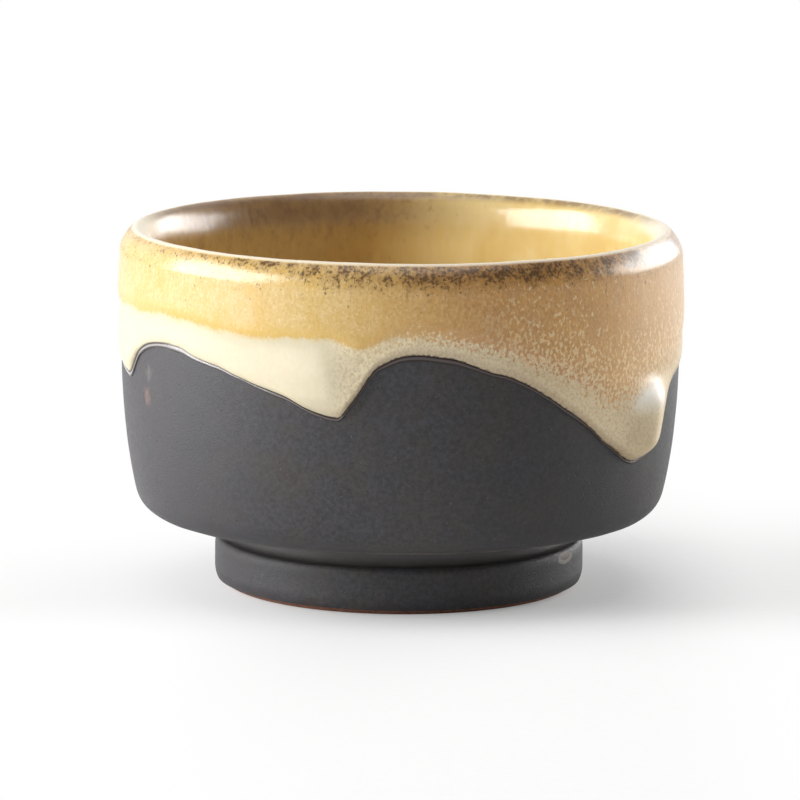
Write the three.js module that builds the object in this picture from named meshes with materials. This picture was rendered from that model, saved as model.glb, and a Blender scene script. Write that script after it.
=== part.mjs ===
// Footed stoneware sake cup: a clay bowl luted onto a foot ring, a dark slip over the outside, a cream
// glaze that has run down the wall in five drips, an amber glaze over the rim, and a glazed lining.
// Millimetres, +Z up. The cup's axis is Z and the foot stands on Z = 0.
// Angles are in degrees from the front (-Y) towards +X.
import * as THREE from "three";

// Clay bowl, outside
const lipHeight = 41.73; // top of the clay lip above the table
const lipRadius = 30.85; // circle along the top of the lip
const wallRadius = 31.95; // outside of the wall, just under the lip
const lipOutsideDrop = 3.4; // how far the lip's rounding reaches down the outside
const bellySwellRadius = 33; // the wall's curve bends towards this circle
const bellySwellHeight = 21.2;
const bellyCornerRadius = 30.15; // where the wall and the underside would meet if nothing rounded them
const bellyCornerHeight = 9.15;
const bellyRound = 2.3; // distance from that corner at which its rounding starts

// Clay bowl, inside
const mouthRadius = 28.95; // bore of the clay, just under the lip
const lipInsideDrop = 4; // how far the lip's rounding reaches down the inside
const hipRadius = 27.6; // where the inner wall starts to turn into the floor
const hipHeight = 18.5;
const innerSwellRadius = 28.9; // the inner wall's curve bends towards this circle
const innerSwellHeight = 28;
const floorHeight = 11;
const floorRadius = 18; // flat part of the inner floor

// Foot ring
const footHeight = 7.3;
const neckRadius = 19.5; // groove between the foot and the bowl
const neckRound = 1.15; // width and height of the groove's rounding
const neckRise = 1.9;
const footRadius = 21.25;
const shoulderHeight = 5.15; // ledge at the top of the foot's upright side
const shoulderRound = 0.55; // width and height of that side's rounding
const shoulderDrop = 1.3;
const footRimRadius = 20.05; // outer edge of the flat ring that touches the table
const footRimRound = 2.1; // height of the rounding above that edge
const footWall = 3.1; // clay between the neck and the bore
const footBoreFlare = 0.9; // the bore opens by this much at the table

// Coats
const lutingThickness = 0.35; // clay slip that sticks the foot to the bowl
const lutingInset = 0.25; // from the foot's faces to the edges of the luting
const slipThickness = 0.3;
const slipStop = 0.85; // bare clay left above the table
const creamThickness = 0.28;
const amberThickness = 0.26;
const liningThickness = 0.35;
const featherThickness = 0.06; // a coat's thickness where it thins out under another
const beadWidth = 0.9; // width over which a run glaze edge rounds down to the surface under it
const bondGap = 0.05; // between a coat and what it covers
const lipJointGap = 0.15; // between the amber glaze and the lining, along the top of the lip

// Lower edge of the cream glaze, one row for each drip: angle, and distance run down from the top of
// the lip. A row goes from the tip up to the crest beside it and starts down towards the next tip.
const creamEdge = [
  [[-72.5, 16.5], [-66, 13.5], [-61, 12.2], [-55.5, 11.8], [-40, 13], [-25, 15.4]],
  [[-12.3, 17.8], [-9.5, 16], [-4, 12], [2.5, 10.8], [20, 13], [40, 19.4], [48, 22.7]],
  [[56.5, 24.9], [61, 24.4], [63.7, 23.2], [65.7, 20.6], [68, 18.5], [73.5, 16.8], [84, 15.4], [102, 12.2],
    [115, 13.6], [126, 17.3]],
  [[133, 19.5], [138, 17.6], [143, 13.4], [152, 10.7], [170, 11.4], [190, 13.6]],
  [[210, 16.6], [214, 15.2], [219, 12.1], [226, 10.5], [250, 11.5], [270, 13.6]],
];

// Lower edge of the amber glaze, in the same measures
const amberEdge = [
  [-75, 8.2], [-50, 8], [-31, 9], [-14, 8.6], [-8, 9.6], [2, 7.6], [16, 8.9], [33, 12.5], [49, 16.3],
  [57, 14.9], [74, 13.7], [90, 9.6], [108, 8.8], [132, 12.4], [150, 8.4], [205, 8.2], [240, 7.4],
];

// Swelling of the cream glaze in each drip: extra thickness along its ridge, widths in degrees of the two
// sides of the ridge, degrees that the ridge leans for each millimetre up, and the heights above the tip
// at which the swelling starts to fall and ends
const dripSwell = [
  { extra: 0.5, left: 6, right: 5, lean: 0, hold: 3.5, reach: 7 },
  { extra: 1.2, left: 11, right: 8, lean: -0.42, hold: 4.5, reach: 10 },
  { extra: 1.9, left: 7, right: 6, lean: 0.35, hold: 7, reach: 11 },
  { extra: 0.8, left: 6, right: 6, lean: 0, hold: 4, reach: 8.5 },
  { extra: 0.6, left: 6, right: 7, lean: 0, hold: 4, reach: 8 },
];
const dripSwellRise = 3; // height above a tip at which its swelling is full
const ridgePower = 1.6; // how sharp a ridge is: 1 is an edge and 2 is round

// Steps round the axis: turned pieces, and the two glazes with wavy edges
const turnedSteps = 48;
const glazeSteps = 84;

// Steps along each stretch of the bowl's skin
const skinSteps = {
  underside: 1,
  belly: 3,
  wall: 3,
  lipOutside: 4,
  lipInside: 3,
  innerWall: 3,
  hip: 4,
  floor: 1,
};

// Sizes that follow from those above
const footBoreRadius = neckRadius - footWall;
const seatHeight = footHeight + lutingThickness;
const seatRadius = neckRadius + bondGap + slipThickness + bondGap; // clear of the coated neck
const wallTopHeight = lipHeight - lipOutsideDrop;
const mouthHeight = lipHeight - lipInsideDrop;

const materials = {
  clay: new THREE.MeshStandardMaterial({ color: 0x7d5240, roughness: 0.9, metalness: 0 }),
  luting: new THREE.MeshStandardMaterial({ color: 0x5f4638, roughness: 0.95, metalness: 0 }),
  slip: new THREE.MeshStandardMaterial({ color: 0x3e3b3d, roughness: 0.7, metalness: 0 }),
  cream: new THREE.MeshStandardMaterial({ color: 0xe6dcbc, roughness: 0.22, metalness: 0 }),
  amber: new THREE.MeshStandardMaterial({ color: 0xc0893f, roughness: 0.2, metalness: 0 }),
  lining: new THREE.MeshStandardMaterial({ color: 0xa57a37, roughness: 0.18, metalness: 0 }),
};

const at = (radius, height) => new THREE.Vector2(radius, height);

// The stretches of the bowl's skin, from the foot's seat along the underside, up the wall, over the lip
// and down to the middle of the inner floor
function makeStretches() {
  const seat = at(seatRadius, seatHeight);
  const corner = at(bellyCornerRadius, bellyCornerHeight);
  const swell = at(bellySwellRadius, bellySwellHeight);
  const roundStart = seat.clone().sub(corner).setLength(bellyRound).add(corner);
  const roundEnd = swell.clone().sub(corner).setLength(bellyRound).add(corner);
  const wallTop = at(wallRadius, wallTopHeight);
  const mouth = at(mouthRadius, mouthHeight);
  const innerSwell = at(innerSwellRadius, innerSwellHeight);
  const hip = at(hipRadius, hipHeight);
  const floorEdge = at(floorRadius, floorHeight);
  const [outReach, inReach] = [wallRadius - lipRadius, lipRadius - mouthRadius];
  const [top, inwards] = [Math.PI / 2, Math.PI];
  return {
    underside: new THREE.LineCurve(seat, roundStart),
    belly: new THREE.QuadraticBezierCurve(roundStart, corner, roundEnd),
    wall: new THREE.QuadraticBezierCurve(roundEnd, swell, wallTop),
    lipOutside: new THREE.EllipseCurve(lipRadius, wallTopHeight, outReach, lipOutsideDrop, 0, top),
    lipInside: new THREE.EllipseCurve(lipRadius, mouthHeight, inReach, lipInsideDrop, top, inwards),
    innerWall: new THREE.QuadraticBezierCurve(mouth, innerSwell, hip),
    hip: new THREE.QuadraticBezierCurve(hip, at(hipRadius, floorHeight), floorEdge),
    floor: new THREE.LineCurve(floorEdge, at(0, floorHeight)),
  };
}

// Distances along the skin at which it is sampled, as one list for each of its stretches
function makeStations(stretches) {
  const lists = {};
  let start = 0;
  Object.entries(stretches).forEach(([name, curve]) => {
    const count = skinSteps[name];
    const begin = start;
    const end = begin + curve.getLength();
    lists[name] = Array.from({ length: count + 1 }, (_, step) => begin + ((end - begin) * step) / count);
    start = end;
  });
  return lists;
}

const stretches = makeStretches();
const skin = new THREE.CurvePath();
Object.values(stretches).forEach((curve) => skin.add(curve));
const skinLength = skin.getLength();
const stations = makeStations(stretches);
const lip = stations.lipOutside;
const crest = lip.at(-1);

// A point above the skin: distance along it, and distance out from it
function aboveSkin(station, offset) {
  const share = Math.min(station / skinLength, 1);
  const point = skin.getPoint(share);
  const along = skin.getTangent(share);
  return at(point.x + along.y * offset, point.y - along.x * offset);
}

// Every sampled distance of the named stretches, in order and without repeats
function stationsOf(...names) {
  return [...new Set(names.flatMap((name) => stations[name]))];
}

// Full until one station, thinned to a feather at the next and absent beyond it
function fading(thickness, station, from, to) {
  if (station > to) return 0;
  const share = Math.min(Math.max((to - station) / (to - from), 0), 1);
  return featherThickness + (thickness - featherThickness) * share;
}

// A smooth closed curve through angle and value pairs, level at each highest and lowest point
function roundTheCup(pairs) {
  const turn = 360;
  const count = pairs.length;
  const pair = (index) => {
    const lap = Math.floor(index / count);
    const [angle, value] = pairs[index - lap * count];
    return { angle: angle + lap * turn, value };
  };
  const rate = (index) => {
    const [from, to] = [pair(index), pair(index + 1)];
    return (to.value - from.value) / (to.angle - from.angle);
  };
  const slope = (index) => {
    const before = rate(index - 1);
    const after = rate(index);
    return before * after > 0 ? (2 * before * after) / (before + after) : 0;
  };
  return (angle) => {
    const first = pairs[0][0];
    const wrapped = first + THREE.MathUtils.euclideanModulo(angle - first, turn);
    let index = 0;
    while (pair(index + 1).angle <= wrapped) index += 1;
    const [from, to] = [pair(index), pair(index + 1)];
    const span = to.angle - from.angle;
    const t = (wrapped - from.angle) / span;
    const left = 1 - t;
    const startPart = left * left * ((1 + 2 * t) * from.value + t * span * slope(index));
    const endPart = t * t * ((1 + 2 * left) * to.value - left * span * slope(index + 1));
    return startPart + endPart;
  };
}

const creamRun = roundTheCup(creamEdge.flat());
const amberRun = roundTheCup(amberEdge);

// Extra thickness of the cream glaze where it has gathered in the drips
function swelling(angle, station) {
  return dripSwell.reduce((sum, { extra, left, right, lean, hold, reach }, index) => {
    const [tipAngle, tipRun] = creamEdge[index][0];
    const above = station - (crest - tipRun);
    const ridge = tipAngle + lean * above;
    const aside = THREE.MathUtils.euclideanModulo(angle - ridge + 180, 360) - 180;
    const across = Math.exp(-(Math.abs(aside / (aside < 0 ? left : right)) ** ridgePower));
    const rise = THREE.MathUtils.smoothstep(above, 0, dripSwellRise);
    const fall = 1 - THREE.MathUtils.smoothstep(above, hold, reach);
    return sum + extra * rise * fall * across;
  }, 0);
}

// Rounding of a glaze's edge, from 0 at the edge to 1 a bead's width above it
function bead(above) {
  const left = 1 - Math.min(above / beadWidth, 1);
  return Math.sqrt(1 - left * left);
}

// Heights above the clay of the faces of the coats on the outside
const slipTop = (station) => {
  const thickness = fading(slipThickness, station, lip[1], lip[2]);
  return thickness > 0 ? bondGap + thickness : 0;
};
const creamBottom = (station) => slipTop(station) + bondGap;
const creamTop = (angle, station) => {
  const edge = crest - creamRun(angle);
  const thickness = fading(creamThickness, station, lip[2], lip[3]);
  if (thickness === 0) return 0;
  const full = thickness + swelling(angle, station);
  const rounded = featherThickness + (full - featherThickness) * bead(station - edge);
  return creamBottom(station) + rounded;
};
const amberBottom = (angle, station) => creamTop(angle, station) + bondGap;
const amberTop = (angle, station) => {
  const edge = crest - amberRun(angle);
  const rounded = featherThickness + (amberThickness - featherThickness) * bead(station - edge);
  return amberBottom(angle, station) + rounded;
};

// A piece turned round the axis, from a profile of radius and height points
function turned(name, profile, material) {
  const geometry = new THREE.LatheGeometry(profile, turnedSteps);
  geometry.rotateX(Math.PI / 2);
  const mesh = new THREE.Mesh(geometry, material);
  mesh.name = name;
  return mesh;
}

// A coat turned round the axis over some stations of the skin: its outer face, then its inner one
function turnedCoat(name, places, bottom, top, material) {
  const outer = places.map((station) => aboveSkin(station, top(station)));
  const inner = places.map((station) => aboveSkin(station, bottom(station))).reverse();
  return turned(name, [...outer, ...inner, outer[0]], material);
}

// A closed ring of any section: for each step round the axis, loop(angle) gives the section's points
function ringOfSections(name, loop, material) {
  const positions = [];
  const faces = [];
  const sections = Array.from({ length: glazeSteps }, (_, step) => loop((360 * step) / glazeSteps));
  const count = sections[0].length;
  sections.forEach((section, step) => {
    const turn = (2 * Math.PI * step) / glazeSteps;
    const next = (step + 1) % glazeSteps;
    section.forEach((point, index) => {
      positions.push(point.x * Math.sin(turn), -point.x * Math.cos(turn), point.y);
      const after = (index + 1) % count;
      const [here, aside] = [step * count + index, next * count + index];
      const [above, across] = [step * count + after, next * count + after];
      faces.push(here, aside, across, here, across, above);
    });
  });
  const geometry = new THREE.BufferGeometry();
  geometry.setAttribute("position", new THREE.Float32BufferAttribute(positions, 3));
  geometry.setIndex(faces);
  geometry.computeVertexNormals();
  const mesh = new THREE.Mesh(geometry, material);
  mesh.name = name;
  return mesh;
}

// Stations between two ends, with as many equal steps as asked, leaving out the last
function between(from, to, steps) {
  return Array.from({ length: steps }, (_, step) => from + ((to - from) * step) / steps);
}

// Steps across the bare band of cream glaze, and up the wall above the amber edge, where both glazes
// share their stations
const creamBandSteps = 2;
const sharedWallSteps = 2;
function sharedStations(angle) {
  const amber = crest - amberRun(angle);
  return between(amber + beadWidth, lip[0], sharedWallSteps);
}

// Shares of a bead's width at which a rounded edge is sampled
const beadShares = [0, 0.12, 0.45];

function makeClayBowl() {
  const points = stationsOf(...Object.keys(stretches)).map((station) => aboveSkin(station, 0));
  return turned("clay_bowl", [at(0, seatHeight), ...points], materials.clay);
}

// The foot's outside, thickened by a coat, from a height on its neck down to one near the table
function footSide(grow, highest, lowest) {
  const [neck, side, ledge] = [neckRadius + grow, footRadius + grow, shoulderHeight + grow];
  const neckEnd = at(neck, ledge + neckRise);
  const ledgeStart = at(neck + neckRound, ledge);
  const ledgeEnd = at(side - shoulderRound, ledge);
  const sideTop = at(side, ledge - shoulderDrop);
  const reach = side - footRimRadius;
  const stop = -Math.asin((footRimRound - lowest) / footRimRound);
  return [
    new THREE.LineCurve(at(neck, highest), neckEnd),
    new THREE.QuadraticBezierCurve(neckEnd, at(neck, ledge), ledgeStart),
    new THREE.LineCurve(ledgeStart, ledgeEnd),
    new THREE.QuadraticBezierCurve(ledgeEnd, at(side, ledge), sideTop),
    new THREE.LineCurve(sideTop, at(side, footRimRound)),
    new THREE.EllipseCurve(footRimRadius, footRimRound, reach, footRimRound + grow, 0, stop, true),
  ];
}

// Points along joined curves: the ends of straight ones, and steps along rounded ones
const curveSteps = 2;
function pointsAlong(curves) {
  const steps = (curve) => (curve.isLineCurve ? 1 : curveSteps);
  const points = curves.flatMap((curve) => curve.getPoints(steps(curve)).slice(1));
  return [curves[0].getPoint(0), ...points];
}

function makeFootRing() {
  const outside = pointsAlong(footSide(0, footHeight, 0));
  const base = at(footBoreRadius + footBoreFlare, 0);
  const bore = [at(footBoreRadius, footBoreFlare), at(footBoreRadius, footHeight)];
  const profile = [...outside, base, ...bore, outside[0]];
  return turned("foot_ring", profile.reverse(), materials.clay);
}

function makeLutingSlip() {
  const inner = footBoreRadius + lutingInset;
  const outer = neckRadius - lutingInset;
  const lower = [at(inner, footHeight), at(outer, footHeight)];
  const upper = [at(outer, seatHeight), at(inner, seatHeight)];
  return turned("luting_slip", [...lower, ...upper, lower[0]], materials.luting);
}

function makeBowlSlip() {
  const places = [...stationsOf("underside", "belly", "wall"), lip[1], lip[2]];
  return turnedCoat("bowl_slip", places, () => bondGap, slipTop, materials.slip);
}

function makeFootSlip() {
  const face = (grow) => pointsAlong(footSide(grow, seatHeight - bondGap, slipStop));
  const inner = face(bondGap);
  const outer = face(bondGap + slipThickness).reverse();
  return turned("foot_slip", [...outer, ...inner, outer[0]], materials.slip);
}

function makeCreamGlaze() {
  const section = (angle) => {
    const edge = crest - creamRun(angle);
    const amber = crest - amberRun(angle);
    const amberBeads = beadShares.map((share) => amber + share * beadWidth);
    const upper = [...amberBeads, ...sharedStations(angle), ...lip.slice(0, 4)];
    const rounded = beadShares.map((share) => edge + share * beadWidth);
    const top = [...rounded, ...between(edge + beadWidth, amber, creamBandSteps), ...upper];
    const lower = [...between(edge, amber, creamBandSteps), ...between(amber, lip[0], sharedWallSteps)];
    const bottom = [...lower, ...lip.slice(0, 4)];
    return [
      ...top.map((station) => aboveSkin(station, creamTop(angle, station))),
      ...bottom.map((station) => aboveSkin(station, creamBottom(station))).reverse(),
    ];
  };
  return ringOfSections("cream_glaze", section, materials.cream);
}

function makeAmberGlaze() {
  const section = (angle) => {
    const amber = crest - amberRun(angle);
    const rounded = beadShares.map((share) => amber + share * beadWidth);
    const places = [...rounded, ...sharedStations(angle), ...lip];
    return [
      ...places.map((station) => aboveSkin(station, amberTop(angle, station))),
      ...places.map((station) => aboveSkin(station, amberBottom(angle, station))).reverse(),
    ];
  };
  return ringOfSections("amber_glaze", section, materials.amber);
}

function makeLiningGlaze() {
  const inside = stationsOf("lipInside", "innerWall", "hip", "floor").slice(1);
  const places = [crest + lipJointGap, ...inside];
  const mouth = stations.lipInside.at(-1);
  const thickness = (station) => {
    const share = Math.min((station - crest) / (mouth - crest), 1);
    return THREE.MathUtils.lerp(amberThickness, liningThickness, share);
  };
  const outer = places.map((station) => aboveSkin(station, bondGap + thickness(station)));
  const inner = places.map((station) => aboveSkin(station, bondGap)).reverse();
  return turned("lining_glaze", [...inner, ...outer], materials.lining);
}

const cup = new THREE.Group();
cup.name = "sake_cup";
cup.add(makeClayBowl(), makeLutingSlip(), makeFootRing());
cup.add(makeBowlSlip(), makeFootSlip());
cup.add(makeCreamGlaze(), makeAmberGlaze(), makeLiningGlaze());

export default cup;
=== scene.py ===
# Looks of a footed stoneware sake cup: its slip, its run glazes, its bare clay, and the studio it stands in.
# Lengths of the cup are in millimetres and become metres when a mesh is made. The studio is in metres.
# Angles are in degrees from the front (-Y) towards +X.
import math

import bpy
import numpy as np
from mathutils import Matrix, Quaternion, Vector, noise


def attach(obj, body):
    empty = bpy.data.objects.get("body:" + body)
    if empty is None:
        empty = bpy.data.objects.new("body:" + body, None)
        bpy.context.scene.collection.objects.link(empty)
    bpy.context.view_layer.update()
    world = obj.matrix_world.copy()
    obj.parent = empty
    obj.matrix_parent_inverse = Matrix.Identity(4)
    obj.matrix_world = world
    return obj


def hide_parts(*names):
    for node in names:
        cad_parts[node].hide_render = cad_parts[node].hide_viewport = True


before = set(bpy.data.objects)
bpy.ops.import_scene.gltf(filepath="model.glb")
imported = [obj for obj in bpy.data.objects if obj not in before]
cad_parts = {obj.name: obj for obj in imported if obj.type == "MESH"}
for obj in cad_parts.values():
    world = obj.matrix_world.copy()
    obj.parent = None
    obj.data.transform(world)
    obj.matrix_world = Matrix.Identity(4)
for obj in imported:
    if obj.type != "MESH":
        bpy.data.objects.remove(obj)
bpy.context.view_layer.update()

MM = 0.001

# Clay bowl, with the sizes of the CAD model
LIP_HEIGHT = 41.73
LIP_RADIUS = 30.85
WALL_RADIUS = 31.95
LIP_OUTSIDE_DROP = 3.4
BELLY_SWELL = (33.0, 21.2)
BELLY_CORNER = (30.15, 9.15)
BELLY_ROUND = 2.3
MOUTH_RADIUS = 28.95
LIP_INSIDE_DROP = 4.0
HIP = (27.6, 18.5)
INNER_SWELL = (28.9, 28.0)
FLOOR_HEIGHT = 11.0
FLOOR_RADIUS = 18.0

# Foot ring
FOOT_HEIGHT = 7.3
NECK_RADIUS = 19.5
NECK_ROUND = 1.15
NECK_RISE = 1.9
FOOT_RADIUS = 21.25
SHOULDER_HEIGHT = 5.15
SHOULDER_ROUND = 0.55
SHOULDER_DROP = 1.3
FOOT_RIM_RADIUS = 20.05
FOOT_RIM_ROUND = 2.1
FOOT_BORE_RADIUS = 16.4
FOOT_BORE_FLARE = 0.9
SEAT_RADIUS = 19.9
SEAT_HEIGHT = 7.65

# Turning marks under the bowl, inside the foot
MARK_DEPTH = 0.12
MARK_PITCH = 2.6

# Coats: the gap between them, and the thickness of each
BOND = 0.05
SLIP = 0.3
CREAM = 0.28
AMBER = 0.26
LINING = 0.35
SLIP_STOP = 0.85  # height at which the slip ends on the foot
SLIP_UNDER_GLAZE = 2.0  # distance below the top of the wall at which it ends on the bowl

# Wear and painted sheen on the slip: the heights over which a pale line along the belly's lower edge,
# partly rubbed slip and partly a painted reflection of the floor, fades in from below and from above, and
# the places of smears and of a painted glint, of a chip and of the bare clay in it, as angle, radius and
# height, with a colour for each smear and the glint
WEAR_AND_SHEEN_FROM_BELOW = (8.25, 8.5)
WEAR_AND_SHEEN_FROM_ABOVE = (9.05, 8.6)
SMEARS_AND_GLINT = [(-62.8, 32.6, 24.2, "8a6c62"), (-62.3, 32.6, 26.9, "77726f"), (86, 32.5, 20.5, "8a6c62")]
CHIP = (63.6, 21.4, 4.6)
CHIP_CLAY = (63.6, 21.4, 4.9)
SPOT_STRETCH = 1.2  # height of a smear or the glint as a share of its width, and below it the same for the chip
CHIP_STRETCH = 0.36

# Unevenness: heights of its broad swells and close ripples, and how many of them lie in a millimetre
GLAZE_SWELL = 0.05
GLAZE_RIPPLE = 0.02
GLAZE_SWELLS = 0.12
GLAZE_RIPPLES = 0.5
GLAZE_RIPPLES_UPWARDS = 0.5  # share of that count which lies in a millimetre of height
GLAZE_SETTLES = (1, 4)  # distances above the edge between which it sets in
BOWL_SLIP_SWELL = 0.05
FOOT_SLIP_SWELL = 0.03
TURNED_SWELLS = 0.1
TURNED_RIPPLES = 0.3
TURNED_RIPPLE = 0.5  # height of the ripples as a share of that of the swells
TURNED_SINK = 1.2  # how far the uneven surface is let in, as a share of the height of the swells

# Steps round the axis, and rows in each stretch of a surface
GLAZE_COLUMNS = 720
TURNED_COLUMNS = 240
FILM_ROWS = 8
FILM_FIRST_ROW = 0.04  # share of the film's width at which the first row above its edge lies
BEAD_ROWS = 10
BEAD_FIRST_ROW = 0.02  # the same for the bead
BEAD_EASE = 1.5  # crowding of the bead's rows towards its edge
CREAM_ROWS = 36
AMBER_ROWS = 44
LEVEL_ROWS = dict(lip_outside=28, lip_inside=18, inner_wall=50, hip=30, floor=24)
BOWL_SLIP_ROWS = 160
FOOT_SLIP_ROWS = 110
FOOT_CLAY_ROWS = 160
BOWL_CLAY_ROWS = 360
UNDERSIDE_POINTS = 160
AXIS_GAP = 0.02  # a surface that closes on the axis stops this short of it
EDGE_SINK = 0.05  # depth in the slip of the glaze's lowest row

# Map for baking: strips that a piece is cut into, and the margin round each
BAKE_STRIPS = 4
BAKE_MARGIN = 0.01

# Refraction of the coats, and depths of their fine relief
GLAZE_IOR = 1.75
SLIP_IOR = 1.6
GLAZE_BUMP = 0.04
LINING_BUMP = 0.03
SLIP_BUMP = 0.06
CLAY_BUMP = 0.08

# Studio: angles in degrees, lengths in metres, power in watts
FLOOR_REACH = 3.0
LAMPS = {
    "key": dict(azimuth=-82, elevation=22, distance=0.65, size=(0.62, 0.46), power=6.1),
    "fill": dict(azimuth=127, elevation=15.5, distance=0.8, size=(0.72, 0.36), power=5.5),
}
LAMP_TARGET = (0, 0, 0.025)
CAMERA_SENSOR = 36  # millimetres, as the lens
CAMERA_LENS = 238
CAMERA_DISTANCE = 0.62
CAMERA_ELEVATION = 9.7
CAMERA_ROLL = 0.45
CAMERA_TARGET = (0, 0, 0.02138)

# Lower edges of the cream glaze, one row for each drip, and of the amber glaze: angle, and distance run
# down from the lip's top
CREAM_EDGE = [
    [(-72.5, 16.5), (-66, 13.5), (-61, 12.2), (-55.5, 11.8), (-40, 13), (-25, 15.4)],
    [(-12.3, 17.8), (-9.5, 16), (-4, 12), (2.5, 10.8), (20, 13), (40, 19.4), (48, 22.7)],
    [(56.5, 24.9), (61, 24.4), (63.7, 23.2), (65.7, 20.6), (68, 18.5), (73.5, 16.8), (84, 15.4), (102, 12.2),
     (115, 13.6), (126, 17.3)],
    [(133, 19.5), (138, 17.6), (143, 13.4), (152, 10.7), (170, 11.4), (190, 13.6)],
    [(210, 16.6), (214, 15.2), (219, 12.1), (226, 10.5), (250, 11.5), (270, 13.6)],
]
AMBER_EDGE = [
    (-75, 8.2), (-50, 8), (-31, 9), (-14, 8.6), (-8, 9.6), (2, 7.6), (16, 8.9), (33, 12.5), (49, 16.3),
    (57, 14.9), (74, 13.7), (90, 9.6), (108, 8.8), (132, 12.4), (150, 8.4), (205, 8.2), (240, 7.4),
]

# Swelling of each drip: extra thickness along its ridge, widths in degrees of the two sides of the ridge,
# degrees that the ridge leans for each millimetre up, and the heights above the tip at which the swelling
# starts to fall and ends
DRIPS = [
    dict(extra=0.5, left=6, right=5, lean=0, hold=3.5, reach=7),
    dict(extra=1.2, left=11, right=8, lean=-0.42, hold=4.5, reach=10),
    dict(extra=1.9, left=7, right=6, lean=0.35, hold=7, reach=11),
    dict(extra=0.8, left=6, right=6, lean=0, hold=4, reach=8.5),
    dict(extra=0.6, left=6, right=7, lean=0, hold=4, reach=8),
]
DRIP_RISE = 3.0  # height above the tip at which a drip has swollen fully
RIDGE_POWER = 1.6  # how squarely a ridge falls away to its sides
RIDGE_TRIM = 0.94  # the faceted CAD model cuts the ridges a little short
FILM = 0.1  # thin clear glaze that creeps ahead of the cream and ends in a bead
FILM_WIDTH = 0.5
BEAD_WIDTH = 0.9
LIP_THINS = 0.25  # share of the outer lip at which the slip and the cream start to thin out
AMBER_BLEND = 1.2  # half the width over which the amber glaze thins out on the cream

# Ripples of the cream's edge and of the film's width: size, waves round the cup, and phase
CREAM_RIPPLE = [(0.035, 23, 0.4), (0.025, 41, 2.0), (0.015, 67, 5.1)]
FILM_RIPPLE = [(0.14, 5, 1.0), (0.08, 13, 0.3), (0.05, 29, 2.2)]


def smoothstep(value, low, high):
    share = np.clip((value - low) / (high - low), 0, 1)
    return share * share * (3 - 2 * share)


def line(start, end, count=40):
    share = np.linspace(0, 1, count)[:, None]
    return np.asarray(start) * (1 - share) + np.asarray(end) * share


def bend(start, control, end, count=60):
    share = np.linspace(0, 1, count)[:, None]
    first = np.asarray(start) * (1 - share) + np.asarray(control) * share
    second = np.asarray(control) * (1 - share) + np.asarray(end) * share
    return first * (1 - share) + second * share


def arc(centre, reach, start, end, count=60):
    turn = np.radians(np.linspace(start, end, count))
    return np.asarray(centre) + np.stack([np.cos(turn), np.sin(turn)], 1) * np.asarray(reach)


def towards(start, end, distance):
    step = np.asarray(end) - np.asarray(start)
    return np.asarray(start) + step * distance / np.linalg.norm(step)


class Path:
    """Joined curves of radius and height, measured by the distance along them."""

    def __init__(self, **stretches):
        points = [curve if index == 0 else curve[1:] for index, curve in enumerate(stretches.values())]
        self.points = np.concatenate(points)
        steps = np.linalg.norm(np.diff(self.points, axis=0), axis=1)
        self.stations = np.concatenate([[0], np.cumsum(steps)])
        along = np.gradient(self.points, self.stations, axis=0)
        along /= np.linalg.norm(along, axis=1)[:, None]
        self.normals = np.stack([along[:, 1], -along[:, 0]], 1)
        ends = np.cumsum([len(part) for part in points]) - 1
        self.ends = dict(zip(stretches, self.stations[ends]))
        self.length = self.stations[-1]

    def above(self, station, offset):
        """Radius and height at distances along the path and out from it."""
        def read(values):
            return np.interp(station, self.stations, values)

        radius = read(self.points[:, 0]) + read(self.normals[:, 0]) * offset
        height = read(self.points[:, 1]) + read(self.normals[:, 1]) * offset
        return radius, height


def bowl_path():
    seat = (SEAT_RADIUS, SEAT_HEIGHT)
    round_start = towards(BELLY_CORNER, seat, BELLY_ROUND)
    round_end = towards(BELLY_CORNER, BELLY_SWELL, BELLY_ROUND)
    wall_top = (WALL_RADIUS, LIP_HEIGHT - LIP_OUTSIDE_DROP)
    mouth = (MOUTH_RADIUS, LIP_HEIGHT - LIP_INSIDE_DROP)
    floor_edge = (FLOOR_RADIUS, FLOOR_HEIGHT)
    outside = (WALL_RADIUS - LIP_RADIUS, LIP_OUTSIDE_DROP)
    inside = (LIP_RADIUS - MOUTH_RADIUS, LIP_INSIDE_DROP)
    return Path(
        underside=line(seat, round_start),
        belly=bend(round_start, BELLY_CORNER, round_end),
        wall=bend(round_end, BELLY_SWELL, wall_top, 120),
        lip_outside=arc((LIP_RADIUS, wall_top[1]), outside, 0, 90),
        lip_inside=arc((LIP_RADIUS, mouth[1]), inside, 90, 180),
        inner_wall=bend(mouth, INNER_SWELL, HIP, 120),
        hip=bend(HIP, (HIP[0], FLOOR_HEIGHT), floor_edge),
        floor=line(floor_edge, (0, FLOOR_HEIGHT)),
    )


def foot_path(grow, top, lowest):
    """The foot's outside from its neck down, thickened by a coat."""
    neck, side, ledge = NECK_RADIUS + grow, FOOT_RADIUS + grow, SHOULDER_HEIGHT + grow
    stop = -math.degrees(math.asin((FOOT_RIM_ROUND - lowest) / FOOT_RIM_ROUND))
    neck_end, ledge_start = (neck, ledge + NECK_RISE), (neck + NECK_ROUND, ledge)
    ledge_end, side_top = (side - SHOULDER_ROUND, ledge), (side, ledge - SHOULDER_DROP)
    reach = (side - FOOT_RIM_RADIUS, FOOT_RIM_ROUND + grow)
    return Path(
        neck=line((neck, top), neck_end),
        groove=bend(neck_end, (neck, ledge), ledge_start),
        ledge=line(ledge_start, ledge_end),
        shoulder=bend(ledge_end, (side, ledge), side_top),
        side=line(side_top, (side, FOOT_RIM_ROUND)),
        rim=arc((FOOT_RIM_RADIUS, FOOT_RIM_ROUND), reach, 0, stop),
    )


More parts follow.
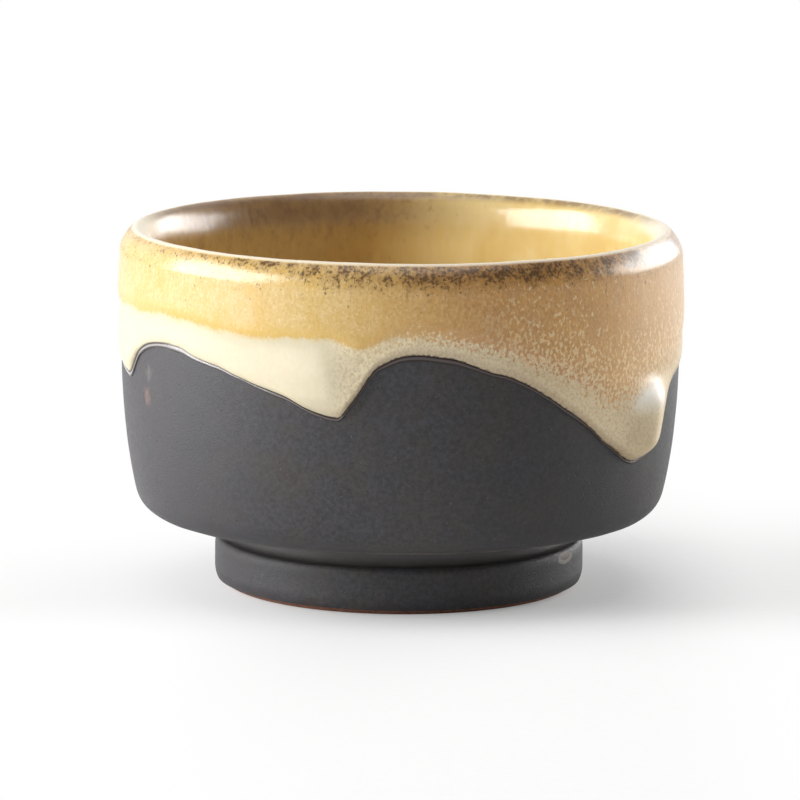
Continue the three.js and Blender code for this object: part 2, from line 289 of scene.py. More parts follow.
def round_the_cup(pairs):
    """A smooth closed curve through angle and value pairs, level at each highest and lowest point."""
    angles, values = np.array(pairs, float).T
    count = len(angles)
    angles = np.concatenate([angles - 360, angles, angles + 360])
    values = np.tile(values, 3)
    rates = np.diff(values) / np.diff(angles)
    before, after = rates[:-1], rates[1:]
    same = before * after > 0
    slopes = np.zeros(3 * count)
    slopes[1:-1][same] = (2 * before * after)[same] / (before + after)[same]

    def read(angle):
        wrapped = angles[count] + (angle - angles[count]) % 360
        index = np.clip(np.searchsorted(angles, wrapped, side="right") - 1, 0, 3 * count - 2)
        span = angles[index + 1] - angles[index]
        t = (wrapped - angles[index]) / span
        left = 1 - t
        start = left * left * ((1 + 2 * t) * values[index] + t * span * slopes[index])
        end = t * t * ((1 + 2 * left) * values[index + 1] - left * span * slopes[index + 1])
        return start + end

    return read


def wave(angle, terms):
    """A small closed ripple round the cup, from terms of size, waves and phase."""
    return sum(size * np.sin(np.radians(angle) * count + phase) for size, count, phase in terms)


bowl = bowl_path()
CREST = bowl.ends["lip_outside"]
WALL_TOP = bowl.ends["wall"]
cream_curve = round_the_cup([pair for row in CREAM_EDGE for pair in row])
amber_run = round_the_cup(AMBER_EDGE)


def cream_run(angle):
    return cream_curve(angle) + wave(angle, CREAM_RIPPLE)


def film_width(angle):
    return FILM_WIDTH + wave(angle, FILM_RIPPLE)


def rounded(distance, width):
    """A rounded edge, from 0 at the edge to 1 a width above it."""
    left = 1 - np.clip(distance / width, 0, 1)
    return np.sqrt(1 - left * left)


def swelling(angle, station):
    """Extra thickness of the cream glaze where it has gathered in the drips."""
    total = 0
    for row, drip in zip(CREAM_EDGE, DRIPS):
        tip_angle, tip_run = row[0]
        above = station - (CREST - tip_run)
        aside = (angle - tip_angle - drip["lean"] * above + 180) % 360 - 180
        width = np.where(aside < 0, drip["left"], drip["right"])
        across = np.exp(-np.abs(aside / width) ** RIDGE_POWER)
        rise = smoothstep(above, 0, DRIP_RISE)
        fall = 1 - smoothstep(above, drip["hold"], drip["reach"])
        total = total + drip["extra"] * rise * fall * across
    return total


def glaze_height(angle, station):
    """Height of the glazes above the clay, outside, over the lip and inside."""
    above = station - (CREST - cream_run(angle))
    width = film_width(angle)
    film = FILM * np.sin(np.pi * np.clip(above / width, 0, 1))
    body = (BOND + CREAM + RIDGE_TRIM * swelling(angle, station)) * rounded(above - width, BEAD_WIDTH)
    over = smoothstep(station - (CREST - amber_run(angle)), -AMBER_BLEND, AMBER_BLEND)
    outside = BOND + SLIP + film + body + (BOND + AMBER) * over
    lip = smoothstep(station, WALL_TOP + LIP_THINS * (CREST - WALL_TOP), CREST)
    inside = smoothstep(station, CREST, bowl.ends["lip_inside"])
    return outside * (1 - lip) + (BOND + AMBER) * lip + (LINING - AMBER) * inside


def place(angle, radius, height):
    """Points round the axis."""
    turn = np.radians(angle)
    return np.stack(np.broadcast_arrays(radius * np.sin(turn), -radius * np.cos(turn), height), -1)


def relief(points, size, scale, stretch=1.0):
    """A smooth unevenness: a height for each point."""
    flat = points.reshape(-1, 3) * scale
    flat[:, 2] *= stretch
    values = [noise.noise(Vector(point)) for point in flat]
    return size * np.array(values).reshape(points.shape[:-1])


def surface_normals(points):
    """Normals of a closed grid of points, rows upwards and columns round the axis."""
    across = np.roll(points, -1, 1) - np.roll(points, 1, 1)
    up = np.gradient(points, axis=0)
    normals = np.cross(across, up)
    lengths = np.linalg.norm(normals, axis=-1, keepdims=True)
    return normals / np.maximum(lengths, 1e-12)


def grid_piece(name, points, normals, values=None):
    """A mesh object from a grid of points in millimetres: rows along a profile, columns round the axis."""
    rows, columns = points.shape[:2]
    index = np.arange(rows * columns).reshape(rows, columns)
    aside = np.roll(index, -1, 1)
    faces = np.stack([index[:-1], aside[:-1], aside[1:], index[1:]], -1).reshape(-1, 4)
    mesh = bpy.data.meshes.new(name)
    mesh.from_pydata((points.reshape(-1, 3) * MM).tolist(), [], faces.tolist())
    mesh.shade_smooth()
    for key, field in (values or {}).items():
        layer = mesh.attributes.new(key, "FLOAT", "POINT")
        field = np.broadcast_to(field, (rows, columns))
        layer.data.foreach_set("value", field.astype(np.float32).ravel())
    add_bake_map(mesh, rows, columns, points)
    mesh.normals_split_custom_set_from_vertices(normals.reshape(-1, 3).tolist())
    piece = bpy.data.objects.new(name, mesh)
    bpy.context.scene.collection.objects.link(piece)
    return piece


def add_bake_map(mesh, rows, columns, points):
    """A map of the grid cut into strips round the axis, laid one above another."""
    steps = np.linalg.norm(np.diff(points, axis=0), axis=-1).mean(1)
    along = np.concatenate([[0], np.cumsum(steps)])
    along /= along[-1]
    each = columns // BAKE_STRIPS
    column = np.arange(columns)
    strip = column // each
    start = (column % each) / each
    room = 1 - 2 * BAKE_MARGIN
    left, right = BAKE_MARGIN + room * start, BAKE_MARGIN + room * (start + 1 / each)
    shares = (along[:-1, None], along[1:, None])
    low, high = ((strip + BAKE_MARGIN + room * share) / BAKE_STRIPS for share in shares)
    left, right = (np.broadcast_to(side, low.shape) for side in (left, right))
    corners = [(left, low), (right, low), (right, high), (left, high)]
    layout = np.stack([np.stack(corner, -1) for corner in corners], -2)
    layer = mesh.uv_layers.new(name="OFBake")
    layer.data.foreach_set("uv", layout.astype(np.float32).ravel())


def spread(start, end, count, ease=1.0):
    """Shares from start to end, closer together at the start where ease is above 1."""
    return start + (end - start) * np.linspace(0, 1, count) ** ease


def stations_between(low, high, shares):
    return low + (high - low) * shares


def make_glazes():
    """The run glazes and the lining: one surface in three pieces, from the cream edge to the cup's floor."""
    angle = np.arange(GLAZE_COLUMNS)[None, :] * 360 / GLAZE_COLUMNS
    edge = CREST - cream_run(angle)
    amber = CREST - amber_run(angle)
    film = film_width(angle)
    film_steps = np.concatenate([[0, 0], spread(FILM_FIRST_ROW, 1, FILM_ROWS)])[:, None]
    bead_steps = BEAD_WIDTH * spread(BEAD_FIRST_ROW, 1, BEAD_ROWS, BEAD_EASE)[:, None]
    fringe = edge + np.concatenate([film_steps * film, bead_steps + film])
    band = stations_between(fringe[-1:], amber, spread(0, 1, CREAM_ROWS)[1:, None])
    upper = stations_between(amber, WALL_TOP, spread(0, 1, AMBER_ROWS)[1:, None])
    level, start = [], WALL_TOP
    for stretch, rows in LEVEL_ROWS.items():
        end = min(bowl.ends[stretch], bowl.length - AXIS_GAP)
        level.append(spread(start, end, rows)[1:])
        start = end
    outer_lip = level[0]
    level = np.concatenate(level)[:, None]
    level = np.broadcast_to(level, (len(level), GLAZE_COLUMNS))
    station = np.concatenate([fringe, band, upper, level])

    height = glaze_height(angle, station)
    height[0] = BOND + SLIP - EDGE_SINK
    smooth = place(angle, *bowl.above(station, height))
    settled = smoothstep(station - edge, *GLAZE_SETTLES)
    swells = relief(smooth, GLAZE_SWELL, GLAZE_SWELLS) - GLAZE_SWELL
    ripples = relief(smooth, GLAZE_RIPPLE, GLAZE_RIPPLES, GLAZE_RIPPLES_UPWARDS) - GLAZE_RIPPLE
    points = place(angle, *bowl.above(station, height + (swells + ripples) * settled))
    normals = surface_normals(points)

    values = {
        "above_film": station - edge - film,
        "film_share": np.clip((station - edge) / film, 0, 1),
        "above_amber": station - amber,
        "run": CREST - station,
        "swelling": swelling(angle, station),
    }
    cream_top = len(fringe) + len(band) - 1
    crest = cream_top + len(upper) + len(outer_lip)
    pieces = []
    for name, rows in (
        ("cream_run", slice(0, cream_top + 1)),
        ("amber_band", slice(cream_top, crest + 1)),
        ("glazed_lining", slice(crest, None)),
    ):
        fields = {key: np.broadcast_to(field, station.shape)[rows] for key, field in values.items()}
        pieces.append(grid_piece(name, points[rows], normals[rows], fields))
    return pieces


def turned_piece(name, path, rows, offset=0.0, swell=0.0):
    """A piece turned round the axis, with a slight unevenness."""
    angle = np.arange(TURNED_COLUMNS)[None, :] * 360 / TURNED_COLUMNS
    station = np.broadcast_to(rows[:, None], (len(rows), TURNED_COLUMNS))
    smooth = place(angle, *path.above(station, offset))
    swells = relief(smooth, swell, TURNED_SWELLS)
    ripples = relief(smooth, TURNED_RIPPLE * swell, TURNED_RIPPLES)
    change = swells + ripples - TURNED_SINK * swell
    points = place(angle, *path.above(station, offset + change))
    return grid_piece(name, points, surface_normals(points))


def make_bowl_slip():
    rows = np.linspace(0, WALL_TOP - SLIP_UNDER_GLAZE, BOWL_SLIP_ROWS)
    return turned_piece("slip_on_bowl", bowl, rows, BOND + SLIP, BOWL_SLIP_SWELL)


def make_foot_slip():
    path = foot_path(BOND + SLIP, SEAT_HEIGHT - BOND, SLIP_STOP)
    rows = np.linspace(path.length, 0, FOOT_SLIP_ROWS)
    return turned_piece("slip_on_foot", path, rows, swell=FOOT_SLIP_SWELL)


def make_foot_clay():
    outside = foot_path(0, FOOT_HEIGHT, 0)
    base = (FOOT_BORE_RADIUS + FOOT_BORE_FLARE, 0)
    bore = (FOOT_BORE_RADIUS, FOOT_BORE_FLARE)
    path = Path(
        bore=line((FOOT_BORE_RADIUS, FOOT_HEIGHT), bore),
        flare=line(bore, base),
        base=line(base, (FOOT_RIM_RADIUS, 0)),
        outside=outside.points[::-1],
        top=line((NECK_RADIUS, FOOT_HEIGHT), (FOOT_BORE_RADIUS, FOOT_HEIGHT)),
    )
    return turned_piece("clay_foot", path, np.linspace(0, path.length, FOOT_CLAY_ROWS))


def make_bowl_clay():
    radius = np.linspace(AXIS_GAP, SEAT_RADIUS, UNDERSIDE_POINTS)
    marks = MARK_DEPTH * np.sin(2 * np.pi * radius / MARK_PITCH)
    marks *= 1 - smoothstep(radius, FOOT_BORE_RADIUS - MARK_PITCH, FOOT_BORE_RADIUS)
    path = Path(
        underside=np.stack([radius, SEAT_HEIGHT + marks], 1),
        skin=bowl.points[:-1],
    )
    return turned_piece("clay_body", path, np.linspace(0, path.length, BOWL_CLAY_ROWS))


class Tree:
    """A node tree under construction, with short calls for the nodes that it uses."""

    def __init__(self, owner):
        owner.use_nodes = True
        self.tree = owner.node_tree

    def feed(self, socket, value):
        if isinstance(value, bpy.types.NodeSocket):
            self.tree.links.new(value, socket)
        else:
            socket.default_value = value

    def node(self, kind, inputs=None, **settings):
        made = self.tree.nodes.new("ShaderNode" + kind)
        for key, value in settings.items():
            setattr(made, key, value)
        for key, value in (inputs or {}).items():
            self.feed(made.inputs[key], value)
        return made

    def math(self, operation, first, second=0.0, third=0.0):
        inputs = {0: first, 1: second, 2: third}
        return self.node("Math", inputs, operation=operation).outputs[0]

    def times(self, *values):
        product = values[0]
        for value in values[1:]:
            product = self.math("MULTIPLY", product, value)
        return product

    def plus(self, *values):
        total = values[0]
        for value in values[1:]:
            total = self.math("ADD", total, value)
        return total

    def step(self, value, low, high, start=0.0, end=1.0):
        """From start to end in a smooth step, as the value goes from low to high."""
        inputs = {"Value": value, "From Min": low, "From Max": high, "To Min": start, "To Max": end}
        return self.node("MapRange", inputs, interpolation_type="SMOOTHSTEP").outputs["Result"]

    def mix(self, share, first, second):
        made = self.node("Mix", data_type="RGBA")
        for key, value in (("Factor_Float", share), ("A_Color", first), ("B_Color", second)):
            self.feed(next(s for s in made.inputs if s.identifier == key), value)
        return next(s for s in made.outputs if s.identifier == "Result_Color")


class Shader(Tree):
    """A material, with patterns measured in millimetres of the object."""

    def __init__(self, name):
        self.material = bpy.data.materials.new(name)
        super().__init__(self.material)
        self.surface = self.tree.nodes["Principled BSDF"]
        metres = self.node("TexCoord").outputs["Object"]
        self.place = self.node("VectorMath", {0: metres, "Scale": 1 / MM}, operation="SCALE").outputs[0]
        split = self.node("SeparateXYZ", {0: self.place})
        self.x, self.y, self.z = split.outputs

    def set(self, **inputs):
        for key, value in inputs.items():
            self.feed(self.surface.inputs[key.replace("_", " ")], value)

    def value(self, name):
        """A number kept with the mesh."""
        return self.node("Attribute", attribute_name=name).outputs["Fac"]

    def where(self, scale, stretch, shift):
        inputs = {0: self.place, 1: (scale, scale, scale / stretch), 2: (shift, shift, shift)}
        return self.node("VectorMath", inputs, operation="MULTIPLY_ADD").outputs[0]

    def noise(self, scale, stretch=1.0, detail=3.0, roughness=0.55, shift=0.0):
        """Noise from 0 to 1 with features of 1 / scale millimetres, drawn out upwards by stretch."""
        inputs = {"Vector": self.where(scale, stretch, shift), "Scale": 1.0}
        inputs.update({"Detail": detail, "Roughness": roughness})
        return self.node("TexNoise", inputs).outputs["Fac"]

    def dots(self, scale, stretch=1.0, shift=0.0):
        """Distance from the nearest of many scattered points, in cells of 1 / scale millimetres."""
        inputs = {"Vector": self.where(scale, stretch, shift), "Scale": 1.0}
        return self.node("TexVoronoi", inputs).outputs["Distance"]

    def near(self, point, stretch):
        """Distance from a point, in millimetres across, and drawn out upwards by stretch."""
        away = self.node("VectorMath", {0: self.place, 1: point}, operation="SUBTRACT").outputs[0]
        inputs = {0: away, 1: (1, 1, 1 / stretch)}
        squeezed = self.node("VectorMath", inputs, operation="MULTIPLY").outputs[0]
        return self.node("VectorMath", {0: squeezed}, operation="LENGTH").outputs["Value"]

    def bump(self, height, distance):
        inputs = {"Height": height, "Distance": distance * MM, "Strength": 1.0}
        self.set(Normal=self.node("Bump", inputs).outputs["Normal"])


def colour(code):
    """A colour for a shader from a display colour such as c0893f."""
    shares = [int(code[i:i + 2], 16) / 255 for i in (0, 2, 4)]
    return (*[s / 12.92 if s <= 0.04045 else ((s + 0.055) / 1.055) ** 2.4 for s in shares], 1.0)


def glaze_material():
    """Cream and amber glazes on the outside, from the clear film at the edge to the lip."""
    s = Shader("run_glaze")
    edge, amber, run = s.value("above_film"), s.value("above_amber"), s.value("run")
    # Share from the lit left to the shaded right, used for painted light and shade
    right = s.step(s.x, -13, 13)
    streaks = s.noise(2.4, 3.5, 4, 0.62)
    clouds = s.noise(0.3, 1.3, 4, 0.6, 7)
    grain = s.noise(3.4, 1.2, 3, 0.65, 3)
    spots = s.noise(2.8, 1.2, 3, 0.62, 83)

    # Amber in lit and shaded copies, painted light and shade: yellower on the lit left and browner in the
    # shade on the right
    light = s.mix(right, colour("e8cf99"), colour("daa55a"))
    deep = s.mix(right, colour("dbb66b"), colour("bf883e"))
    amber_colour = s.mix(s.step(streaks, 0.3, 0.75, 0.1, 0.8), deep, light)
    golden = s.mix(right, colour("dab157"), colour("bd8a50"))
    amber_colour = s.mix(s.step(clouds, 0.42, 0.66, 0, 0.6), amber_colour, golden)
    darker = s.mix(right, colour("caa550"), colour("9c7038"))
    amber_colour = s.mix(s.step(grain, 0.42, 0.68, 0, 0.5), amber_colour, darker)
    paler = s.mix(right, colour("f2dca6"), colour("e2bd80"))
    amber_colour = s.mix(s.step(spots, 0.52, 0.72, 0, 0.55), amber_colour, paler)
    rich = s.mix(right, colour("d9b147"), colour("b87e40"))
    amber_colour = s.mix(s.step(amber, 2.0, 0.2, 0, 0.6), amber_colour, rich)

    # Pale flecks on the right, closer together towards the lower edge of the amber
    flecks = s.noise(2.9, 1.5, 1, 0.5, 23)
    crowding = s.step(amber, 9.0, 1.0, 0.0, 0.14)
    fleck = s.times(s.step(s.plus(flecks, crowding), 0.6, 0.74), s.step(s.x, 4, 18), 0.75)
    amber_colour = s.mix(fleck, amber_colour, colour("ecd2a0"))
    # Painted light: lighter towards the right edge, where the fill lamp falls
    amber_colour = s.mix(s.step(s.x, 16, 31, 0, 0.25), amber_colour, colour("f2cc90"))

    # Iron under the lip: a brown wash with crowded specks, and a few dots and trails further down
    crowd = s.step(s.x, -22, -2)
    reach = s.step(crowd, 0, 1, 1.8, 3.8)
    band = s.times(s.step(run, 0.3, 0.6), s.step(s.math("DIVIDE", run, reach), 1.0, 0.3))
    band = s.times(band, s.step(s.x, -27, -15, 0.4, 1.0))
    patches = s.step(s.noise(0.6, 1.2, 3, 0.65, 29), 0.36, 0.62, 0.3, 1.0)
    amber_colour = s.mix(s.times(band, patches, 0.75), amber_colour, colour("80592f"))
    fine = s.plus(s.noise(2.7, 1.3, 3, 0.68, 11), s.times(band, patches, 0.17))
    dots = s.times(s.step(s.dots(0.8, 1.3, 5), 0.15, 0.06), s.step(run, 8, 3))
    drawn_out = s.step(s.noise(2.0, 9, 3, 0.6, 43), 0.6, 0.72)
    trails = s.times(drawn_out, s.step(run, 6.5, 3), s.step(s.x, -12, 2), 0.65)
    crowded = s.times(s.step(s.dots(1.5, 1.2, 15), 0.3, 0.16), s.step(s.times(band, patches), 0.2, 0.6))
    specks = s.math("MAXIMUM", s.times(s.step(fine, 0.57, 0.7), s.step(run, 5, 2)), crowded)
    dark = s.math("MAXIMUM", specks, s.math("MAXIMUM", dots, trails))
    amber_colour = s.mix(s.times(dark, 0.78), amber_colour, colour("472e17"))

    # Cream in lit and shaded copies, painted light and shade: whiter on the lit left, beige in painted shade
    # right of the left drip's ridge and darker further right; on the swollen drip on the right, a painted
    # highlight on its top and painted shade lower down
    shade = s.step(s.x, -9.6, -5)
    swollen = s.step(s.value("swelling"), 0.35, 1.1)
    tan = s.mix(s.step(s.x, 4, 18), colour("f0e0bc"), colour("dcc69c"))
    cream = s.mix(shade, colour("d9cdac"), tan)
    blotch = s.noise(1.7, 1, 4, 0.65, 53)
    blotched = s.step(blotch, 0.35, 0.62, 0, s.step(shade, 0, 1, 0.2, 0.6))
    cream = s.mix(blotched, cream, s.mix(shade, colour("e6ddc8"), colour("dccba6")))
    cream = s.mix(s.times(shade, s.step(grain, 0.42, 0.66), 0.45), cream, colour("a58c64"))
    cream = s.mix(s.times(shade, s.step(edge, 1.3, 0.2), 0.45), cream, colour("86694c"))
    # Painted shade on the lower part of the swollen drip on the right
    low = s.times(s.step(s.x, 20, 24), s.step(s.z, 24.5, 21), swollen)
    cream = s.mix(s.times(low, 0.35), cream, colour("b8a27a"))
    # Painted highlight on the top of the swollen drip on the right
    painted_drip_highlight = s.times(s.step(s.plus(s.x, s.times(blotch, 4.0)), 26, 29), s.step(s.z, 22.5, 25.5), swollen)
    cream = s.mix(s.times(painted_drip_highlight, 0.95), cream, colour("faf4e6"))

    # Where amber gives way to cream: a soft wavy line on the left, scattered flecks on the right
    waves = s.math("MULTIPLY_ADD", s.noise(0.35, 1, 3, 0.6, 19), 1.6, -0.8)
    crumbs = s.math("MULTIPLY_ADD", grain, 0.8, -0.4)
    line_left = s.step(s.plus(amber, waves, crumbs), -0.45, 0.45)
    mixed = s.noise(2.9, 1.2, 2, 0.6, 89)
    fade = s.times(s.plus(amber, 0.5), s.step(s.x, 12, 22, 0.15, 0.08))
    line_right = s.step(s.math("SUBTRACT", s.plus(fade, 0.5), mixed), -0.14, 0.14)
    # The amber's flecks stop under the painted highlight on the drip's top
    line_right = s.times(line_right, s.math("SUBTRACT", 1.0, s.times(painted_drip_highlight, 0.85)))
    over = s.mix(s.step(s.x, -6, 4), line_left, line_right)
    base = s.mix(over, cream, amber_colour)

    # Paler along the crest: a painted highlight where the lip catches the light, partly glaze run thin
    base = s.mix(s.step(run, 0.5, 0.22, 0, 0.85), base, colour("f4e9d2"))

    # The thin edge, where the dark slip shows through: a brown line at the cream, the film dark along its
    # borders in painted shade of its bead, and a paler middle with a painted glint on the left
    film = s.value("film_share")
    ragged = s.times(s.math("SUBTRACT", s.noise(2.6, 1.0, 3, 0.65, 67), 0.5), shade, 0.7)
    base = s.mix(s.step(s.plus(edge, ragged), -0.05, 0.2), colour("4c3c31"), base)
    # Painted shade: the film dark along its borders
    base = s.mix(s.step(edge, 0.02, -0.12), base, colour("2e2724"))
    middle = s.times(s.step(film, 0.2, 0.45), s.step(film, 0.85, 0.65))
    # Painted glint: the film's middle much paler on the left
    clear = s.mix(s.step(s.x, -20, -8), colour("a09a99"), colour("5e5453"))
    base = s.mix(middle, base, clear)

    # Satin on the cream, glossier on the amber and wet on the film
    satin = s.step(over, 0, 1, 0.52, s.step(s.x, 12, 26, 0.2, 0.28))
    wet = s.step(edge, 0.2, -0.1)
    roughness = s.mix(wet, satin, s.step(s.x, -12, 6, 0.12, 0.45))
    dull = s.times(wet, s.step(s.x, -14, 0), 0.35)
    gloss = s.math("SUBTRACT", 0.5, dull)
    s.set(Base_Color=base, Roughness=roughness, IOR=GLAZE_IOR, Specular_IOR_Level=gloss)
    lumps = s.times(s.noise(1.8, 1, 2, 0.6, 79), wet, 1.4)
    s.bump(s.plus(s.times(streaks, 0.5), s.times(grain, 0.5), lumps), GLAZE_BUMP)
    return s.material


def lining_material():
    """Amber-brown glaze inside, darker and mottled under the lip, with painted light and shade: darker on
    the shaded left and lighter on the right, where the key lamp falls.
    """
    s = Shader("lining_glaze")
    run = s.times(s.value("run"), -1.0)
    # Share from the shaded left to the lit right, used for painted light and shade
    right = s.step(s.x, -7, 9)
    streaks = s.noise(1.1, 3.5, 4, 0.6, 31)
    clouds = s.noise(0.16, 1.3, 3, 0.55, 37)
    base = s.mix(right, colour("b49052"), colour("f3da94"))
    streaked = s.mix(right, colour("c49e5c"), colour("f6dfaa"))
    base = s.mix(s.step(streaks, 0.3, 0.75, 0, 0.5), base, streaked)
    clouded = s.mix(right, colour("a8803f"), colour("e4be6c"))
    base = s.mix(s.step(clouds, 0.4, 0.66, 0, 0.5), base, clouded)
    left = s.times(s.step(s.x, 20, -8, 0.15, 1.0), s.step(s.x, -28, -20, 0.3, 1.0))
    band = s.times(s.step(run, 0.2, 0.9), s.step(run, 7.5, 2.0), left)
    mottle = s.plus(s.noise(1.0, 1.5, 4, 0.6, 41), s.times(band, 0.16), s.times(right, -0.16))
    base = s.mix(s.times(band, 0.62), base, colour("785836"))
    base = s.mix(s.step(mottle, 0.48, 0.85, 0, 0.5), base, colour("6b4b2c"))
    blotches = s.step(s.noise(0.5, 1.2, 4, 0.6, 29), 0.3, 0.6, 0.3, 0.8)
    rim = s.times(s.step(run, 0.05, 0.3), s.step(run, 1.6, 0.5), blotches)
    base = s.mix(rim, base, colour("6f4c2a"))
    # Painted highlight: the inner lip whitened at both ends, where it catches the light
    ends = s.times(s.step(s.math("ABSOLUTE", s.x), 17, 25), s.step(s.y, 14, 2))
    base = s.mix(s.times(ends, s.step(run, 2.4, 1.2), 0.9), base, colour("efe2c6"))
    s.set(Base_Color=base, Roughness=s.step(s.x, -10, 6, 0.28, 0.2), IOR=GLAZE_IOR)
    s.bump(streaks, LINING_BUMP)
    return s.material


def slip_material():
    """Matte charcoal slip with a fine grain and painted glints, tiny pits, a few marks of wear, and painted
    light and shade.
    """
    s = Shader("dark_slip")
    grain = s.noise(6.0, 1, 3, 0.75, 2)
    speckle = s.noise(1.9, 1, 4, 0.72, 71)
    clouds = s.noise(0.16, 0.9, 3, 0.6, 13)
    pits = s.step(s.dots(0.7, 1, 3), 0.12, 0.05)
    glints = s.step(s.noise(2.9, 1, 2, 0.6, 8), 0.68, 0.76)
    base = s.mix(s.step(clouds, 0.4, 0.62), colour("252529"), colour("302823"))
    base = s.mix(s.step(speckle, 0.38, 0.7, 0, 0.8), base, colour("434044"))
    base = s.mix(s.step(speckle, 0.46, 0.3, 0, 0.7), base, colour("1c1a1b"))
    # Painted light and shade: darker towards the right and lighter on the lit left
    base = s.mix(s.step(s.x, 0, 24, 0, 0.4), base, colour("1b1a1b"))
    base = s.mix(s.step(s.x, -8, -30, 0, 0.5), base, colour("46444a"))
    base = s.mix(s.times(pits, 0.5), base, colour("1b1818"))
    # Painted glints: small pale specks standing for sparkle on the grain
    base = s.mix(s.times(glints, 0.45), base, colour("706d6e"))

    # Paler in the neck: painted light that lifts the shade in the groove
    neck = s.times(s.step(s.z, 5.2, 5.8), s.step(s.z, 7.9, 7.4))
    base = s.mix(s.times(neck, 0.55), base, colour("6c6866"))

    # Pale along the belly's lower edge, partly rubbed slip and partly a painted reflection of the floor;
    # smears on the sides, and a grey spot above the first that is a painted glint
    rim = s.times(s.step(s.z, *WEAR_AND_SHEEN_FROM_BELOW), s.step(s.z, *WEAR_AND_SHEEN_FROM_ABOVE))
    wear_and_sheen = s.step(s.noise(0.3, 1, 4, 0.65, 97), 0.36, 0.6, 0.3, 1.0)
    base = s.mix(s.times(rim, wear_and_sheen, 0.5), base, colour("7d7466"))
    ragged = s.times(s.noise(1.2, 2.2, 4, 0.7, 51), 3.2)
    for angle, radius, height, tint in SMEARS_AND_GLINT:
        spot_distance = s.near(tuple(place(angle, radius, height)), SPOT_STRETCH)
        base = s.mix(s.step(s.plus(spot_distance, ragged), 2.8, 1.8, 0, 0.5), base, colour(tint))

    # A chip on the foot: a pale rim round bare clay
    chip = s.plus(s.near(tuple(place(*CHIP)), CHIP_STRETCH), s.times(ragged, 0.3))
    base = s.mix(s.step(chip, 2.6, 2.0, 0, 0.65), base, colour("9a958e"))
    bare = s.plus(s.near(tuple(place(*CHIP_CLAY)), CHIP_STRETCH), s.times(ragged, 0.3))
    base = s.mix(s.step(bare, 2.2, 1.6, 0, 0.9), base, colour("5c4236"))
    roughness = s.step(speckle, 0.3, 0.7, 0.4, 0.56)
    gloss = s.step(s.x, -5, 18, 0.5, 0.36)
    s.set(Base_Color=base, Roughness=roughness, IOR=SLIP_IOR, Specular_IOR_Level=gloss)
    s.bump(s.math("SUBTRACT", grain, s.times(pits, 0.6)), SLIP_BUMP)
    return s.material


def clay_material():
    """Bare fired clay, reddish brown with fine grog."""
    s = Shader("bare_clay")
    grain = s.noise(2.2, 1, 4, 0.7, 17)
    grog = s.step(s.dots(1.3, 1, 9), 0.2, 0.1)
    base = s.mix(s.step(grain, 0.3, 0.7), colour("7a4f3c"), colour("9a6a52"))
    base = s.mix(s.times(grog, 0.5), base, colour("b08a6c"))
    s.set(Base_Color=base, Roughness=s.step(grain, 0.3, 0.7, 0.8, 0.95))
    s.bump(grain, CLAY_BUMP)
    return s.material


def floor_material():
    """Pale floor that takes the cup's shadow and goes over into the white behind it; for the camera it also
    glows in part near the cup, painted light that lifts the shadow.
    """
    s = Shader("studio_floor")
    grain = s.noise(0.9, 1, 4, 0.7, 61)
    s.set(Base_Color=s.mix(grain, colour("e2e2e2"), colour("f0f0f0")), Roughness=0.8)
    seen = s.node("LightPath").outputs["Is Camera Ray"]
    white = s.node("Emission", {"Color": (1.0, 1.0, 1.0, 1.0), "Strength": 1.0}).outputs[0]
    # Glow for the camera: full white far behind the cup, and a share near it, more in front and to the
    # sides, which is painted light that lifts the cup's shadow there
    back = s.step(s.y, -10, 110, 0.0, 0.8)
    front = s.step(s.y, -12, -36, 0.0, 0.4)
    lit = s.plus(front, s.step(s.x, -2, -36, 0.0, 0.5), s.step(s.x, 24, 44, 0.0, 0.35))
    share = s.times(seen, s.math("MINIMUM", s.plus(back, lit, 0.2), 1.0))
    floor = s.node("MixShader", {0: share, 1: s.surface.outputs[0], 2: white}).outputs[0]
    s.feed(s.tree.nodes["Material Output"].inputs["Surface"], floor)
    return s.material


def dress(piece, material, node):
    piece.data.materials.append(material)
    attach(piece, "root")
    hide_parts(node)


glaze, lining, slip, clay = glaze_material(), lining_material(), slip_material(), clay_material()
cream_run_piece, amber_band, glazed_lining = make_glazes()
dress(cream_run_piece, glaze, "cream_glaze")
dress(amber_band, glaze, "amber_glaze")
dress(glazed_lining, lining, "lining_glaze")
dress(make_bowl_slip(), slip, "bowl_slip")
dress(make_foot_slip(), slip, "foot_slip")
dress(make_foot_clay(), clay, "foot_ring")
dress(make_bowl_clay(), clay, "clay_bowl")
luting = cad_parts["luting_slip"]
luting.data.materials.clear()
luting.data.materials.append(clay)


def make_floor():
    """A flat floor under the cup, wider than the camera sees."""
    mesh = bpy.data.meshes.new("floor")
    corners = [(FLOOR_REACH * x, FLOOR_REACH * y, 0) for x, y in ((-1, -1), (1, -1), (1, 1), (-1, 1))]
    mesh.from_pydata(corners, [], [(0, 1, 2, 3)])
    mesh.materials.append(floor_material())
    floor = bpy.data.objects.new("floor", mesh)
    bpy.context.scene.collection.objects.link(floor)


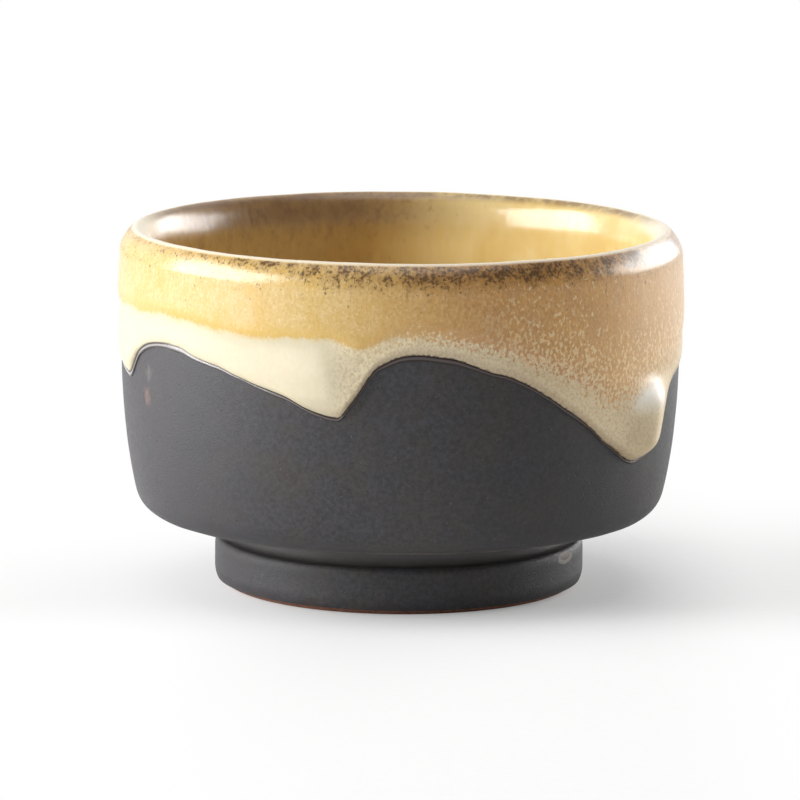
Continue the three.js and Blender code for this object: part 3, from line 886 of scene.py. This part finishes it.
def make_world():
    """White all round for the camera. The light is weakest from the front and strongest from above."""
    world = bpy.data.worlds.new("studio")
    t = Tree(world)
    way = t.node("SeparateXYZ", {0: t.node("TexCoord").outputs["Generated"]})
    path = t.node("LightPath")
    front = t.step(way.outputs["Z"], 0.0, 0.7, 0.32, 0.18)
    wall = t.step(path.outputs["Is Glossy Ray"], 0, 1, 0.6, 1.0)
    behind = t.step(way.outputs["Y"], 0.1, 0.8)
    around = t.plus(t.times(front, t.math("SUBTRACT", 1.0, behind)), t.times(wall, behind))
    light = t.plus(around, t.step(way.outputs["Z"], 0.86, 0.97, 0.0, 1.3))
    background = t.tree.nodes["Background"].inputs
    t.feed(background["Strength"], t.math("MAXIMUM", path.outputs["Is Camera Ray"], light))
    t.feed(background["Color"], (1.0, 1.0, 1.0, 1.0))
    bpy.context.scene.world = world


def make_light(name, azimuth, elevation, distance, size, power):
    """A soft rectangular lamp aimed at the cup."""
    lamp = bpy.data.lights.new(name, "AREA")
    lamp.shape = "RECTANGLE"
    lamp.size, lamp.size_y = size
    lamp.energy = power
    light = bpy.data.objects.new(name, lamp)
    bpy.context.scene.collection.objects.link(light)
    turn, rise = math.radians(azimuth), math.radians(elevation)
    level = math.cos(rise)
    towards_lamp = Vector((math.sin(turn) * level, -math.cos(turn) * level, math.sin(rise)))
    light.location = Vector(LAMP_TARGET) + towards_lamp * distance
    light.rotation_euler = towards_lamp.to_track_quat("Z", "Y").to_euler()


def make_camera():
    """A long lens in front of the cup, looking slightly down."""
    data = bpy.data.cameras.new("camera")
    data.sensor_width = CAMERA_SENSOR
    data.lens = CAMERA_LENS
    camera = bpy.data.objects.new("camera", data)
    bpy.context.scene.collection.objects.link(camera)
    elevation = math.radians(CAMERA_ELEVATION)
    back = Vector((0, -math.cos(elevation), math.sin(elevation)))
    camera.location = Vector(CAMERA_TARGET) + CAMERA_DISTANCE * back
    level = back.to_track_quat("Z", "Y")
    roll = Quaternion((0, 0, 1), math.radians(CAMERA_ROLL))
    camera.rotation_euler = (level @ roll).to_euler()
    bpy.context.scene.camera = camera


make_floor()
make_world()
for lamp_name, settings in LAMPS.items():
    make_light(lamp_name, **settings)
make_camera()
bpy.context.scene.view_settings.view_transform = "Standard"
